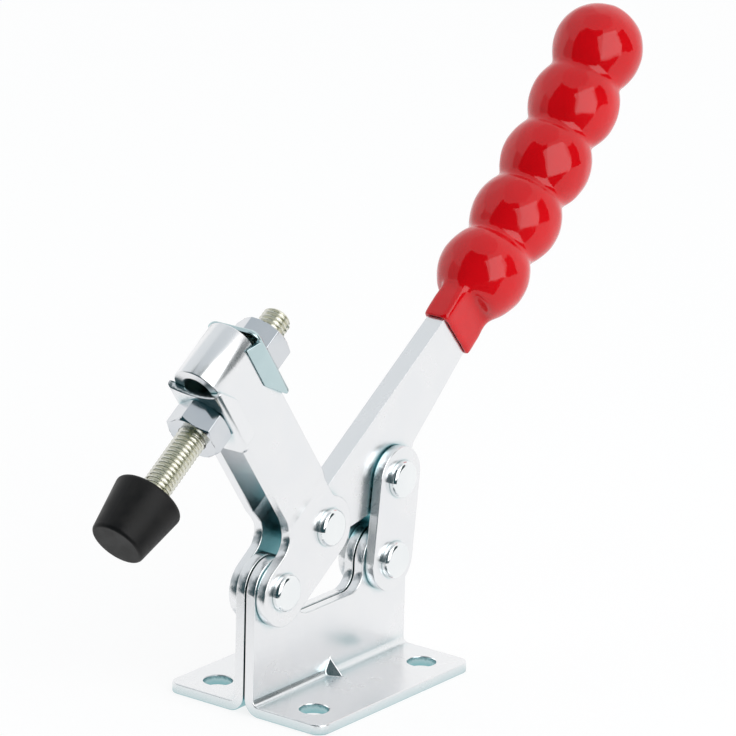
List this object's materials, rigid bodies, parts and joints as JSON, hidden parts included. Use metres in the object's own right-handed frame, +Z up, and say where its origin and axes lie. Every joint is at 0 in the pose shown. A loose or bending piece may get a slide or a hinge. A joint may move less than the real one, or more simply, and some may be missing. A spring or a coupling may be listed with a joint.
{
  "type": "toggle clamp",
  "caption": "Hand-operated toggle clamp: a flanged base, a lever and link toggle, and a slotted bar arm whose threaded spindle presses down through a rubber tip.",
  "frame": {"origin": "centre of the four base holes, on the underside of the base", "axes": "+X from the handle towards the spindle, along the base; +Y to the clamp's left, across the pivots; +Z up, away from the mounting face"},
  "size_m": [0.218, 0.0508, 0.162],
  "materials": {
    "zinc_steel": "bright zinc plate on pressed sheet steel",
    "polished_zinc": "bright zinc plate on rivets and nuts",
    "yellow_zinc": "yellowish zinc plate on the threaded spindle",
    "bushing": "plain bushes hidden in the pivots",
    "red_vinyl": "glossy dipped vinyl",
    "black_rubber": "satin moulded rubber"
  },
  "bodies": {
    "base": {"base_plate_left": "zinc_steel", "base_plate_right": "zinc_steel", "arm_pivot_bush": "bushing", "link_base_bush": "bushing"},
    "arm": {"clamping_arm": "zinc_steel", "arm_pivot_rivet": "polished_zinc", "handle_pivot_rivet": "polished_zinc", "handle_pivot_spacer_left": "zinc_steel", "handle_pivot_spacer_right": "zinc_steel"},
    "handle": {"handle_lever": "zinc_steel", "handle_grip": "red_vinyl", "handle_pivot_bush": "bushing"},
    "link": {"link_plate_left": "zinc_steel", "link_plate_right": "zinc_steel", "link_base_rivet": "polished_zinc", "link_handle_rivet": "polished_zinc", "link_pin_spacer_left": "zinc_steel", "link_pin_spacer_right": "zinc_steel"},
    "carriage": {"upper_flanged_washer": "zinc_steel", "lower_flanged_washer": "zinc_steel", "upper_nut": "polished_zinc", "lower_nut": "polished_zinc"},
    "spindle_body": {"spindle": "yellow_zinc", "rubber_tip": "black_rubber"}
  },
  "joints": [
    {"name": "arm_hinge", "type": "hinge", "parent": "base", "child": "arm", "pos_m": [0.0236, 0, 0.0324], "axis": [0, -1, 0], "range_deg": [-54.8, 16.4]},
    {"name": "handle_hinge", "type": "hinge", "parent": "arm", "child": "handle", "pos_m": [0.00521, 0, 0.04537], "axis": [0, -1, 0], "range_deg": [-26.7, 88.9]},
    {"name": "link_hinge", "type": "hinge", "parent": "base", "child": "link", "pos_m": [-0.0228, 0, 0.0291], "axis": [0, -1, 0], "range_deg": [-50.2, 15.2]},
    {"name": "slot_slide", "type": "slide", "parent": "arm", "child": "carriage", "axis": [0.5764, 0, 0.8171], "range_m": [-0.024, 0.0085]},
    {"name": "spindle_slide", "type": "slide", "parent": "carriage", "child": "spindle_body", "axis": [-0.8171, 0, 0.5764], "range_m": [-0.007, 0.016]}
  ],
  "couplings": [
    {"joint": "handle_hinge", "follows": "arm_hinge", "ratio": -1.6204},
    {"joint": "link_hinge", "follows": "arm_hinge", "ratio": 0.91241}
  ]
}
